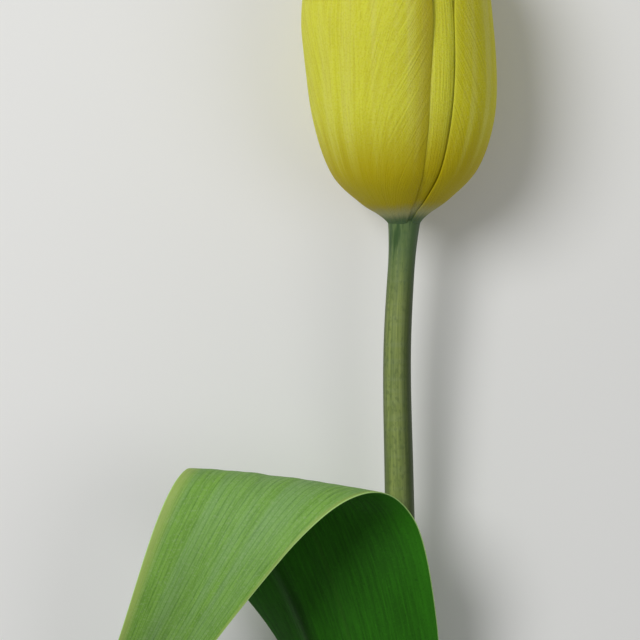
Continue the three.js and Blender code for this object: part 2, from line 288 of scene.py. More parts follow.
def makeStem():
    s = stemShape
    clearSelection()

    def centre(down):
        return neck + Vector((float(stemSway(down)), -down, neckHeight - rise * down)) * mm

    share = np.linspace(0, 1, s["steps"] + 1)
    downs = s["length"] * (1 - share) ** s["gather"]
    first = centre(s["length"])
    bpy.ops.mesh.primitive_circle_add(
        vertices=s["sides"], radius=s["endRadius"] * mm, fill_type="NOTHING",
        location=first, rotation=(math.pi / 2, 0, 0))
    stem = bpy.context.object
    stem.name = "stem_body"
    bpy.ops.object.transform_apply(location=True, rotation=True, scale=True)
    bpy.ops.object.mode_set(mode="EDIT")
    bpy.ops.mesh.select_all(action="SELECT")
    for before, after in zip(downs, downs[1:]):
        bpy.ops.mesh.extrude_region_move(
            TRANSFORM_OT_translate={"value": centre(after) - centre(before)})
        grow = float(stemRadius(after) / stemRadius(before))
        bpy.ops.transform.resize(value=(grow, 1, grow), center_override=centre(after))
    # the dome that carries the flower
    size, height = 1, 0
    for ring, lift in s["dome"]:
        step = (lift - height) * s["domeHeight"] * mm
        bpy.ops.mesh.extrude_region_move(TRANSFORM_OT_translate={"value": (0, step, 0)})
        bpy.ops.transform.resize(value=(ring / size, 1, ring / size), center_override=centre(0))
        size, height = ring, lift
    bpy.ops.mesh.edge_face_add()

    # the cut: a firm rind round a slightly sunken middle
    cutY = first.y
    pickPoints(stem, lambda p: abs(p.y - cutY) < samePlace)
    bpy.ops.mesh.edge_face_add()
    bpy.ops.mesh.inset(thickness=s["cutEdge"] * mm, depth=0)
    bpy.ops.mesh.inset(thickness=s["rind"] * mm, depth=-s["rindDip"] * mm)
    bpy.ops.mesh.inset(thickness=s["hollowSlope"] * mm, depth=-s["hollow"] * mm)
    rings, ringWidth = s["pithRings"]
    for _ in range(rings):
        bpy.ops.mesh.inset(thickness=ringWidth * mm, depth=0)
    bpy.ops.mesh.select_all(action="SELECT")
    bpy.ops.mesh.normals_make_consistent(inside=False)
    bpy.ops.object.mode_set(mode="OBJECT")
    smoother = stem.modifiers.new("smoother", "SUBSURF")
    smoother.levels = smoother.render_levels = 1
    bpy.ops.object.modifier_apply(modifier="smoother")
    bpy.ops.object.shade_smooth_by_angle(angle=math.radians(s["sharpAngle"]))
    # millimetres from the stem's middle and down from the neck, as if it were straight
    straight = []
    for vertex in stem.data.vertices:
        down = (neck.y - vertex.co.y) / mm
        out = (vertex.co - centre(down)) / mm
        straight += [out.x, -down, out.z]
    stem.data.attributes.new("straight", "FLOAT_VECTOR", "POINT").data.foreach_set("vector", straight)
    return stem


# flower

def headOutline():
    h = headShape
    neckRadius = stemShape["neckRadius"]
    below, above = ([[out * h["radius"], up * h["height"]] for out, up in h[key]]
                    for key in ("outlineLow", "outlineHigh"))
    return curveThrough([
        [neckRadius - h["footNarrow"], -h["footDrop"]],
        [neckRadius + h["rim"][0], h["rim"][1]],
        *below,
        [h["radius"] - h["thickness"] / 2, h["bellyHeight"]],
        *above,
    ], power=0)


outlineAt, outlineLength = headOutline()
leanAngle = math.radians(headShape["lean"])
riseAngle = math.asin(rise)


def fromFlower(points):
    # points round the flower's axis, +Y from the neck, to the frame
    x, y, z = points[..., 0], points[..., 1], points[..., 2]
    cos, sin = math.cos(leanAngle), math.sin(leanAngle)
    x, y = x * cos - y * sin, x * sin + y * cos
    cos, sin = math.cos(riseAngle), math.sin(riseAngle)
    y, z = y * cos - z * sin, y * sin + z * cos
    # flat where it rests on the surface
    lying = np.maximum(z + neckHeight, headShape["thickness"] / 2)
    return np.stack([x, y, lying], -1) * mm + np.array([neck.x, neck.y, 0])


def petalMiddle(number, outer):
    h = headShape
    turn = math.radians((h["outerAzimuths"] if outer else h["innerAzimuths"])[number])
    shoulder = h["outerShoulder"] if outer else h["innerShoulder"]
    fullInset = h["thickness"] + h["whorlGap"] + max(abs(b) for b in h["bulges"]) + h["tuck"]
    footInset = h["footInset"]
    tuckLeft, tuckRight = h["tuckStarts"]
    slow, fast, turns = h["ribRates"]
    random = np.random.RandomState(h["ribSeed"] + number + 10 * outer)
    waves = [(random.uniform(slow, fast), random.uniform(0, 2 * math.pi), random.uniform(0.3, 1))
             for _ in range(h["ribs"])]      # rate, start and size of each soft rib

    def middle(across, along):
        u = np.clip(along, 0, 1)
        place, way = outlineAt(u * outlineLength)
        inset = 0 if outer else footInset + (fullInset - footInset) * unitClamp(u / h["insetBy"])
        height = place[..., 1] + inset * way[..., 0] - (0 if outer else h["tipDrop"]) * u * u
        radius = place[..., 0] - inset * way[..., 1]
        closing = unitClamp((u - shoulder) / (1 - shoulder))
        width = np.maximum(h["tipWidth"], (1 - closing ** 2) ** h["tipRound"])
        half = math.radians(h["halfAngle"]) * width
        twistTop, twistPower, twistAtBelly = h["twistBy"]
        wound = unitClamp(height / (twistTop * h["height"])) ** twistPower
        twist = math.radians(h["twist"]) * (wound - twistAtBelly)
        azimuth = twist + across * half * np.where((across > 0) & outer, h["reach"], 1)
        swell = np.sin(math.pi * unitClamp(height / h["height"]))
        if outer:
            low = np.sin(math.pi * unitClamp(height / (h["bulgeTop"] * h["bellyHeight"])))
            radius = radius + h["bulges"][number] * low
            tuck = np.where(across > 0, h["tuckRight"], h["tuck"])
            start = np.where(across > 0, tuckRight, tuckLeft)
            radius = radius - tuck * unitClamp((np.abs(across) - start) / (1 - start)) ** 2 * swell
            lowDown = np.sin(math.pi * unitClamp(height / h["lowTuckTop"]))
            radius = radius - h["lowTucks"][number] * unitClamp(-2 * across - 1) ** 2 * lowDown
        else:
            fromRidge = (across * h["halfAngle"] - h["ridgeOffset"]) / h["ridgeAngle"]
            radius = radius + h["ridges"][number] * np.exp(-fromRidge ** 2) * swell
        # soft ribs along the petal, strongest near its midrib
        soft = sum(size * np.sin(rate * turns * across + phase + h["ribSlant"] * u)
                   for rate, phase, size in waves)
        radius = radius + h["ribDepth"] * soft * swell * (1 - h["ribFade"] * across ** 2)
        azimuth = azimuth + turn
        return fromFlower(np.stack([radius * np.sin(azimuth), height, radius * np.cos(azimuth)], -1))

    return middle


def petalVeins(apart):
    # across and along the petal, for veins that run together at its foot.
    # apart moves each petal to its own stretch of the pattern
    h = headShape

    def vein(across, along):
        place, _ = outlineAt(along * outlineLength)
        height = np.maximum(0, place[..., 1])
        return apart + h["veinSpan"] * across, height ** 2 / (height + h["veinFoot"])

    return vein


def petalBody(across, along):
    lost, power = headShape["marginThin"]
    lostAtFoot, footEnd = headShape["footThin"]
    atFoot = (1 - lostAtFoot) + lostAtFoot * unitClamp(along / footEnd)
    return (1 - lost * np.abs(across) ** power) * atFoot


def makePetals():
    petals = []
    for outer in (True, False):
        for number in range(3):
            name = ("outer" if outer else "inner") + "_petal_%d" % (number + 1)
            petal = makeSheet(name + "_skin", petalMiddle(number, outer), petalBody,
                              headShape["thickness"] * mm, headShape["counts"],
                              petalVeins(headShape["veinShift"] * (number + 3 * outer)))
            petals.append((petal, name, "petal"))
    return petals


# leaf

leafShape = {
    "length": 280,
    "thickness": 0.9,
    "halfWidths": [10, 16, 24, 27.7, 18, 10.8, 8, 0.4],     # mm, foot to tip
    "curls": [58, 30, 5, 4, 16, 18, 10],        # degrees each side of the midrib, past the foot
    "rolls": [0, 24, 19, 6.8, -6.8, -1.3, -10, -6],         # degrees it is turned about the midrib
    "leans": [6, 20.7, 19.7, 31.4, 25.2, 19.4, 17, 24],     # degrees the midrib heads to the left
    "nip": (0.51, 0.05, 2),      # share of the length where the left margin draws in, spread, mm
    "foldTilt": 5.7,        # degrees
    "foldBelow": 71.6,      # mm below the neck
    "foldRadii": [11.2, 18],            # mm, left and right
    "foldHeights": [25, 28.9],
    "foldSpan": [-45, 8],
    "foot": 190,            # mm below the neck
    "rise": [(160, 1), (130, 4)],       # mm below the neck, and over the stem, on its way up
    "rollRun": 8,           # mm behind the roll where it reaches the height that the roll starts at
    "fall": [(22, 3), (50, 18)],        # mm past the roll, and below its top, on its way down
    "landing": (78, 9),     # mm past the roll, and above the surface
    "lying": (97, 115),     # mm past the roll, where it lands and where its line ends
    "crease": [0.2, 0.8, 1.0, 0.4, 0.2, 0.4, 0.4, 0.1],     # mm, depth of the midrib's groove
    "creaseWidth": 2.0,
    "pleat": (-0.47, 0.08, 1.6),        # across, spread, mm: a soft pleat up its left half
    "pleatAlong": (0.3, 0.12),          # shares of the length: its middle and spread
    "ribs": (0.07, 5.1),    # mm, depth and distance of the shallow ribs beside the midrib
    "ribDrift": (0.8, 9),   # how far the ribs wander, and how fast along the leaf
    "wave": (0.7, 4.2),     # mm, and how many waves the margins make
    "waveStart": (1.3, 0.6),            # the margins' waves are out of step
    "smoothFoot": (0.12, 0.2),          # shares of the length with no ribs or waves, and to full ones
    "veinSpan": (20, 0.25),     # mm across the vein map, and its share that follows the width
    "marginThin": (0.65, 6),    # share of the thickness lost at the margins, and power
    "counts": (48, 130),
}


def overStem(down):
    stemTop = neckHeight - rise * down + float(stemRadius(down))
    return stemTop + headShape["clearance"] + leafShape["thickness"] / 2


def leafLine(radius, height):
    # the leaf's line in a plane across the fold: forwards and up, foot to tip
    f = leafShape
    top = -f["foldBelow"]
    rollTop = height + 2 * radius
    landing, above = f["landing"]
    lyingFrom, lyingTo = f["lying"]
    return curveThrough([
        [-f["foot"], overStem(f["foot"])],
        *[[-down, overStem(down) + over] for down, over in f["rise"]],
        [top - radius - f["rollRun"], height],
        [top - 0.3 * radius, height + 0.3 * radius],
        [top, height + radius],
        [top - 0.3 * radius, height + 1.7 * radius],
        [top - radius, rollTop],
        *[[top - radius - past, rollTop - drop] for past, drop in f["fall"]],
        [top - radius - landing, above],
        [top - radius - lyingFrom, f["thickness"]],
        [top - radius - lyingTo, f["thickness"] / 2],
    ], power=0.5)[0]


tilt = math.radians(leafShape["foldTilt"])
leafAcross = np.array([math.cos(tilt), -math.sin(tilt), 0])
leafAlong = np.array([math.sin(tilt), math.cos(tilt), 0])
leafLines = [leafLine(r, h) for r, h in zip(leafShape["foldRadii"], leafShape["foldHeights"])]


def leafAt(key, along):
    values = leafShape[key]
    return smoothLine(values, along * (len(values) - 1))


def leafMidrib():
    # the midrib's way over the leaf's line: places across and lengths along
    steps = 200
    lean = np.radians(leafAt("leans", (np.arange(steps) + 0.5) / steps))
    step = leafShape["length"] / steps
    down = leafShape["foot"]
    foot = float(stemSway(down)) * leafAcross[0] - down * leafAcross[1]
    return (np.concatenate([[foot], foot - np.cumsum(step * np.sin(lean))]),
            np.concatenate([[0], np.cumsum(step * np.cos(lean))]))


midribAcross, midribAlong = leafMidrib()
narrowest = 0.3         # mm, half the width left at the leaf's very tip

# at its foot the leaf clasps the stem
footCurl = leafShape["halfWidths"][0] / (
    float(stemRadius(leafShape["foot"])) + headShape["clearance"] + leafShape["thickness"] / 2)
leafCurls = [footCurl] + [math.radians(v) for v in leafShape["curls"]]


def leafMiddle(across, along):
    f = leafShape
    lean, roll = (np.radians(leafAt(key, along)) for key in ("leans", "rolls"))
    curl = smoothLine(leafCurls, along * (len(leafCurls) - 1))
    nipAt, nipSpread, nipDepth = f["nip"]
    nip = nipDepth * np.maximum(0, -across) * np.exp(-((along - nipAt) / nipSpread) ** 2)
    half = np.maximum(narrowest, leafAt("halfWidths", along) - nip)
    radius = half / curl
    flat = radius * np.sin(across * curl)
    lift = radius * (1 - np.cos(across * curl))
    fromMidrib = across * half
    # the midrib's groove, the pleat, shallow ribs and a gentle wave of the margins
    lift = lift - leafAt("crease", along) * np.exp(-(fromMidrib / f["creaseWidth"]) ** 2)
    bare, full = f["smoothFoot"]
    body = np.sin(math.pi * unitClamp(along)) * unitClamp((along - bare) / full)
    where, spread, deep = f["pleat"]
    pleatAt, pleatSpread = f["pleatAlong"]
    pleat = deep * np.exp(-((across - where) / spread) ** 2)
    lift = lift - pleat * np.exp(-((along - pleatAt) / pleatSpread) ** 2)
    ribDepth, ribApart = f["ribs"]
    drift, driftRate = f["ribDrift"]
    ribs = ribDepth * np.cos(2 * math.pi * fromMidrib / ribApart + drift * np.sin(driftRate * along))
    waveHeight, waves = f["wave"]
    sideStart, start = f["waveStart"]
    turn = 2 * math.pi * along * waves + sideStart * np.sign(across) + start
    wave = waveHeight * np.abs(across) ** 3 * np.sin(turn)
    lift = lift + (ribs * (1 - across ** 2) + wave) * body
    out = flat * np.cos(roll) + lift * np.sin(roll)
    inward = lift * np.cos(roll) - flat * np.sin(roll)
    steps = len(midribAcross) - 1
    a = smoothLine(midribAcross, along * steps) + out * np.cos(lean)
    b = smoothLine(midribAlong, along * steps) + out * np.sin(lean)
    low, high = f["foldSpan"]
    share = unitClamp((a - low) / (high - low))[..., None]
    (leftPlace, leftWay), (rightPlace, rightWay) = (line(b) for line in leafLines)
    place = leftPlace * (1 - share) + rightPlace * share
    way = leftWay * (1 - share) + rightWay * share
    way = way / np.linalg.norm(way, axis=-1)[..., None]
    forward = place[..., 0] + inward * way[..., 1]
    height = np.maximum(place[..., 1] - inward * way[..., 0], f["thickness"] / 2)
    points = a[..., None] * leafAcross + forward[..., None] * leafAlong
    points[..., 2] += height
    return points * mm + np.array([neck.x, neck.y, 0])


def leafVeins(across, along):
    # veins keep their places across the leaf and close up towards its foot and tip
    half = np.maximum(narrowest, leafAt("halfWidths", along))
    span, follow = leafShape["veinSpan"]
    return across * (span + follow * (half - span)), along * leafShape["length"]


def leafBody(across, along):
    lost, power = leafShape["marginThin"]
    return 1 - lost * np.abs(across) ** power


def makeLeaf():
    f = leafShape
    return makeSheet("leaf_blade", leafMiddle, leafBody, f["thickness"] * mm, f["counts"], leafVeins)


# stamens and pistil

stamenShape = {
    "inset": 1.15,          # mm inside the neck's rim
    "splay": 11,            # degrees
    "filamentLength": 12,
    "filamentRadii": (0.62, 0.38),      # mm, foot and top
    "filamentFoot": (0.4, 2),           # mm up, where its foot is full and where it starts to taper
    "filamentSides": 10,
    "antherLength": 15,
    "antherRadius": 1.6,
    "antherRings": [(0.35, 0), (0.75, 0.03), (0.95, 0.1), (1, 0.25),     # shares of radius and length
                    (0.95, 0.5), (0.88, 0.75), (0.7, 0.9), (0.3, 1)],
    "antherSides": 16,
    "antherFlat": 0.75,     # its depth as a share of its width
    "groove": 0.45,         # mm
    "grooveReach": (0.3, 0.1),          # shares of the radius: its half width, and where it starts
    "grooveEnds": 0.5,      # mm short of each end
}
pistilShape = {
    "radius": 2.2,
    "height": 19,
    "stigmaRadius": 4.2,
    "stigmaHeight": 3.4,
    "ovaryFoot": [(0.8, 0), (0.95, 0.3)],       # share of the radius, and mm up
    # shares of radius and height
    "ovaryRings": [(1.12, 0.2), (1.15, 0.5), (1, 0.8), (0.85, 0.97), (0.6, 1)],
    "stigmaRings": [(0.5, 0), (0.8, 0.3), (1, 0.6), (0.95, 0.9), (0.6, 1), (0.25, 0.8)],
    "sides": 24,
    "groove": 0.82,         # share of the radius left in the grooves between the three lobes
    "stigmaGroove": 0.5,
    "grooveFrom": 0.2,      # mm up the ovary
    "stigmaGrooveFrom": 0.2,            # share of the stigma's height
    "grooveAngle": 14,      # degrees each side of a groove's line
}
flowerMatrix = (
    Matrix.Translation((neck.x, neck.y, neckHeight * mm))
    @ Matrix.Rotation(riseAngle, 4, "X")
    @ Matrix.Rotation(leanAngle, 4, "Z")
)
footHeight = stemShape["domeHeight"] + headShape["clearance"]


def turnedUp(name, rings, sides):
    # a round piece standing on its ring of points, +Y up, from (radius, height) in mm
    clearSelection()
    bpy.ops.mesh.primitive_circle_add(
        vertices=sides, radius=rings[0][0] * mm, fill_type="NOTHING",
        location=(0, rings[0][1] * mm, 0), rotation=(math.pi / 2, 0, 0))
    piece = bpy.context.object
    piece.name = name
    bpy.ops.object.transform_apply(location=True, rotation=True, scale=True)
    bpy.ops.object.mode_set(mode="EDIT")
    bpy.ops.mesh.select_all(action="SELECT")
    bpy.ops.mesh.edge_face_add()
    bpy.ops.mesh.select_mode(type="VERT")
    for (r0, y0), (r1, y1) in zip(rings, rings[1:]):
        bpy.ops.mesh.extrude_region_move(TRANSFORM_OT_translate={"value": (0, (y1 - y0) * mm, 0)})
        bpy.ops.transform.resize(value=(r1 / r0, 1, r1 / r0), center_override=(0, y1 * mm, 0))
    bpy.ops.mesh.select_all(action="SELECT")
    bpy.ops.mesh.normals_make_consistent(inside=False)
    bpy.ops.object.mode_set(mode="OBJECT")
    return piece


def smoothed(piece, levels):
    clearSelection()
    piece.select_set(True)
    bpy.context.view_layer.objects.active = piece
    smoother = piece.modifiers.new("smoother", "SUBSURF")
    smoother.levels = smoother.render_levels = levels
    bpy.ops.object.modifier_apply(modifier="smoother")
    bpy.ops.object.shade_smooth()


def threeGrooves(piece, left, fromHeight):
    # draws in three lines up a round piece, to the share of its radius that is left
    near = math.cos(math.radians(pistilShape["grooveAngle"]))
    for third in range(3):
        angle = math.pi / 3 + third * 2 * math.pi / 3
        way = Vector((math.sin(angle), 0, math.cos(angle)))
        pickPoints(piece, lambda p: p.y > fromHeight and Vector((p.x, 0, p.z)).length > 10 * samePlace
                   and Vector((p.x, 0, p.z)).normalized().dot(way) > near)
        bpy.ops.transform.resize(value=(left, 1, left), center_override=(0, 0, 0))
    bpy.ops.object.mode_set(mode="OBJECT")


def makeStamens():
    s = stamenShape
    foot, top = s["filamentRadii"]
    length = s["filamentLength"]
    footTop, taperFrom = s["filamentFoot"]
    filament = turnedUp("filament", [
        (0.6 * foot, 0), (foot, footTop), (foot, taperFrom), (0.5 * (foot + top), 0.6 * length),
        (top, 0.9 * length), (0.7 * top, length)], s["filamentSides"])
    smoothed(filament, 1)
    r, tall = s["antherRadius"], s["antherLength"]
    start = length + headShape["clearance"]
    rings = [(r * out, start + tall * up) for out, up in s["antherRings"]]
    anther = turnedUp("anther", rings, s["antherSides"])
    # a groove down each broad side parts the two pollen sacs
    wide, outFrom = (share * r * mm for share in s["grooveReach"])
    end = s["grooveEnds"]
    for sign in (1, -1):
        pickPoints(anther, lambda p: abs(p.x) < wide and p.z * sign > outFrom
                   and start + end < p.y / mm < start + tall - end)
        bpy.ops.transform.translate(value=(0, 0, -sign * s["groove"] * mm))
    bpy.ops.mesh.select_all(action="SELECT")
    bpy.ops.transform.resize(value=(1, 1, s["antherFlat"]), center_override=(0, 0, 0))
    bpy.ops.object.mode_set(mode="OBJECT")
    smoothed(anther, 1)
    made = []
    for number in range(1, 7):
        place = (
            flowerMatrix
            @ Matrix.Rotation(math.radians(60 * number), 4, "Y")
            @ Matrix.Translation((0, footHeight * mm, (stemShape["neckRadius"] - s["inset"]) * mm))
            @ Matrix.Rotation(math.radians(s["splay"]), 4, "X")
        )
        for first, kind in ((filament, "filament"), (anther, "anther")):
            copy = first.copy()
            copy.data = first.data.copy()
            copy.name = "%s_%d_piece" % (kind, number)
            bpy.context.collection.objects.link(copy)
            copy.data.transform(place)
            made.append((copy, "%s_%d" % (kind, number), kind))
    for first in (filament, anther):
        bpy.data.objects.remove(first)
    return made


def makePistil():
    p = pistilShape
    r, tall = p["radius"], p["height"]
    rings = [(out * r, up) for out, up in p["ovaryFoot"]]
    rings += [(out * r, up * tall) for out, up in p["ovaryRings"]]
    ovary = turnedUp("ovary_body", rings, p["sides"])
    threeGrooves(ovary, p["groove"], p["grooveFrom"] * mm)
    smoothed(ovary, 1)
    r, tall = p["stigmaRadius"], p["stigmaHeight"]
    stigma = turnedUp("stigma_body", [(out * r, up * tall) for out, up in p["stigmaRings"]], p["sides"])
    threeGrooves(stigma, p["stigmaGroove"], p["stigmaGrooveFrom"] * tall * mm)
    smoothed(stigma, 1)
    ovary.data.transform(flowerMatrix @ Matrix.Translation((0, footHeight * mm, 0)))
    above = footHeight + pistilShape["height"] + headShape["clearance"]
    stigma.data.transform(flowerMatrix @ Matrix.Translation((0, above * mm, 0)))
    return [(ovary, "ovary", "ovary"), (stigma, "stigma", "stigma")]


# finishes

def newMaterial(name, roughness, specular):
    material = bpy.data.materials.new(name)
    material.use_nodes = True
    skin = material.node_tree.nodes["Principled BSDF"]
    skin.inputs["Roughness"].default_value = roughness
    skin.inputs["Specular IOR Level"].default_value = specular
    return material, material.node_tree, skin


def layCoats(tree, colour, coats):
    # lays coats of colour in turn. Each is (value, clear, full, strength, colour) and comes in
    # as its value passes from clear to full, up to its strength
    for value, clear, full, strength, over in coats:
        share = addNode(tree, "ShaderNodeMapRange", {
            0: value, 1: clear, 2: full, 4: strength}, interpolation_type="SMOOTHSTEP").outputs[0]
        colour = addNode(tree, "ShaderNodeMix", {
            0: share, 6: colour, 7: over}, data_type="RGBA").outputs[2]
    return colour


petalColours = {
    "lemon": "#dadb44",
    "shadedYellow": "#d2cb10",      # painted shade: deeper yellow on the second and third outer petals, on the shaded side of the flower
    "paleAndSheen": "#dcd978",      # paler streaks and grain, partly the petal's own colour and partly painted sheen
    "deep": "#bdb41c",      # between the veins
    "low": "#b5a304",       # golden, low on the petal: its own deeper colour, with painted shade towards the neck
    "fold": "#b19d02",      # painted shade: golden brown down the right margin
    "margin": "#d6d548",
    # olive lower still: its own colour, with painted shade towards the neck
    "olive": "#ac9a14",
    "foot": "#a9ae86",      # greenish white where it joins the stem
    "neck": "#57704a",
}
petalPattern = {            # mm
    "veinApart": 0.55,
    "band": 4.2,
    "stretch": 0.03,        # streaks are this much slower up the petal than across it
    "fans": [(0.3, 0.12), (0.65, 0.42)],        # how far the veins lean out, and from what share across
    "fanBlend": 0.22,
    "cell": 0.5,            # real cells are 0.03 mm, too fine to show
    "relief": 0.3,
}


def petalFinish():
    # tulip petal: a satin living skin of tiny domed cells over fine veins.
    # It looks softly silky, paler in streaks along the veins, partly with painted sheen, and golden
    # where it shades itself, that shade partly painted in
    c = {key: linearColour(value) for key, value in petalColours.items()}
    size = petalPattern
    material, tree, skin = newMaterial("tulip petal", 0.52, 0.09)
    veins = addNode(tree, "ShaderNodeSeparateXYZ", {
        0: addNode(tree, "ShaderNodeUVMap", uv_map="veins").outputs[0]})
    share = addNode(tree, "ShaderNodeSeparateXYZ", {
        0: addNode(tree, "ShaderNodeUVMap", uv_map="share").outputs[0]})
    across, along = share.outputs[0], share.outputs[1]

    def streaks(slope, apart):
        # long streaks up the petal, leaning out by the slope. The map is in centimetres
        x = addNode(tree, "ShaderNodeMath", {
            0: veins.outputs[1], 1: -slope, 2: veins.outputs[0]}, operation="MULTIPLY_ADD").outputs[0]
        y = addNode(tree, "ShaderNodeMath", {
            0: veins.outputs[1], 1: size["stretch"]}, operation="MULTIPLY").outputs[0]
        line = addNode(tree, "ShaderNodeCombineXYZ", {0: x, 1: y, 2: 3 * slope}).outputs[0]
        return addNode(tree, "ShaderNodeTexNoise", {
            "Vector": line, "Scale": 10 / apart, "Detail": 2, "Roughness": 0.6}).outputs[0]

    # straight up the middle and fanning to the margins in two steps
    fine = streaks(0, size["veinApart"])
    for side in (-1, 1):
        for slope, start in size["fans"]:
            here = addNode(tree, "ShaderNodeMapRange", {
                0: across, 1: side * start, 2: side * (start + size["fanBlend"])}).outputs[0]
            fanned = streaks(side * slope, size["veinApart"])
            fine = addNode(tree, "ShaderNodeMix", {
                0: here, 2: fine, 3: fanned}, data_type="FLOAT").outputs[0]
    band = streaks(0, size["band"])
    place = addNode(tree, "ShaderNodeTexCoord").outputs["Object"]
    cells = addNode(tree, "ShaderNodeTexNoise", {
        "Vector": place, "Scale": 1 / (size["cell"] * mm), "Detail": 2, "Roughness": 0.6}).outputs[0]
    away = addNode(tree, "ShaderNodeMath", {0: across}, operation="ABSOLUTE").outputs[0]
    # bands and veins carry the low colours unevenly up the petal
    banded = addNode(tree, "ShaderNodeMath", {
        0: band, 1: 0.22, 2: along}, operation="MULTIPLY_ADD").outputs[0]
    strand = addNode(tree, "ShaderNodeMath", {
        0: fine, 1: 0.07, 2: along}, operation="MULTIPLY_ADD").outputs[0]
    firstPetalEnds = 0.35 * headShape["veinShift"]      # centimetres on the vein map
    colour = layCoats(tree, c["lemon"], [
        # painted shade: deeper yellow over the second and third outer petals
        (veins.outputs[0], firstPetalEnds, firstPetalEnds + 1, 0.8, c["shadedYellow"]),
        (fine, 0.6, 0.36, 0.4, c["deep"]),
        # paler streaks and grain: partly the petal's own colour, partly painted sheen
        (band, 0.45, 0.68, 0.35, c["paleAndSheen"]),
        (cells, 0.5, 0.72, 0.32, c["paleAndSheen"]),
        (cells, 0.48, 0.3, 0.35, c["deep"]),
        (away, 0.88, 1, 0.5, c["margin"]),
        # painted shade, golden brown, down each petal's right margin
        (across, 0.66, 0.96, 0.55, c["fold"]),
        # golden and olive low on the petal: its own deeper colour, darkened with painted shade towards
        # the neck
        (banded, 0.53, 0.3, 0.9, c["low"]),
        (along, 0.17, 0.08, 0.5, c["olive"]),
        (strand, 0.145, 0.075, 0.75, c["foot"]),
        (strand, 0.09, 0.05, 1, c["neck"]),
    ])
    tree.links.new(colour, skin.inputs["Base Color"])
    grain = addNode(tree, "ShaderNodeMath", {
        0: cells, 1: 0.55, 2: fine}, operation="MULTIPLY_ADD").outputs[0]
    relief = addNode(tree, "ShaderNodeBump", {
        "Strength": 0.9, "Distance": size["relief"] * mm, "Height": grain})
    tree.links.new(relief.outputs[0], skin.inputs["Normal"])
    skin.inputs["Subsurface Weight"].default_value = 0.35
    skin.inputs["Subsurface Radius"].default_value = (1, 0.85, 0.08)
    skin.inputs["Subsurface Scale"].default_value = 1.5 * mm
    return material


leafColours = {
    "upper": "#7fae4a",
    "upperVein": "#3f6c20",
    "upperDark": "#64913a",
    "bloom": "#86a87b",     # bluish wax in long bands
    "wax": "#93b377",
    "margin": "#a9bd63",
    "rim": "#b4dc84",       # pale clear edge, partly its own colour and partly painted light coming through it
    "pleat": "#123803",     # very dark green: painted shade in the pleat up the underside's left half, and dark specks
    "rib": "#3c6420",
    "foot": "#b9c48e",
    # the underside's greens: its own deep green, darkened further with painted shade
    "under": "#286b08",
    "underDark": "#1f5804",
    "underSide": "#32800e",
}
leafPattern = {             # mm
    "veinlet": 0.6,
    "vein": 1.5,
    "wander": (4, 0.16),    # how broad a vein's bends are, and how far they go in centimetres
    "band": 5.3,
    "cell": 0.6,            # real stomata are 0.05 mm, too fine to show
    "relief": 0.15,
}


